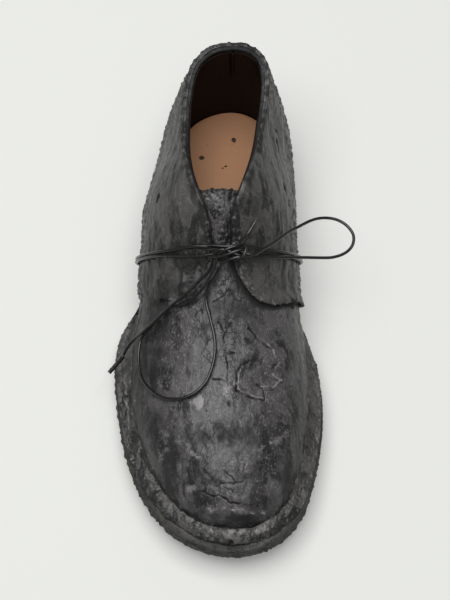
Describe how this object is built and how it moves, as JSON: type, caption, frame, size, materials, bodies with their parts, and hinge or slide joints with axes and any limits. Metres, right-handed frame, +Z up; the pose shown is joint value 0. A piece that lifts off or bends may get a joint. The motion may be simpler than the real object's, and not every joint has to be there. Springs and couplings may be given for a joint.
{
  "type": "derby shoe",
  "caption": "Chunky low derby shoe with a wide flared sole, rolled welt, hollow coated upper, overlaid quarters, tongue, leather insole and a round lace wound round instep and arch.",
  "frame": {"origin": "on the floor under the middle of the shoe's box, without its bow", "axes": "+Y from toe to heel along the shoe's length, +X towards the medial side, +Z up"},
  "size_m": [0.1441, 0.2903, 0.0982],
  "materials": {
    "coated_leather": "cracked semi-matt coating",
    "coated_sole": "rough matt coating",
    "tan_leather": "smooth vegetable-tanned",
    "waxed_cord": "waxed"
  },
  "bodies": {
    "root": {"outsole": "coated_sole", "heel": "coated_sole", "welt": "coated_sole", "insole": "tan_leather", "upper": "coated_leather", "tongue": "coated_leather", "quarter_lateral": "coated_leather", "quarter_medial": "coated_leather", "lace_wraps": "waxed_cord", "lace_knot": "waxed_cord", "lace_loop_left": "waxed_cord", "lace_loop_right": "waxed_cord", "lace_end_long": "waxed_cord", "lace_end_short": "waxed_cord"}
  },
  "joints": []
}
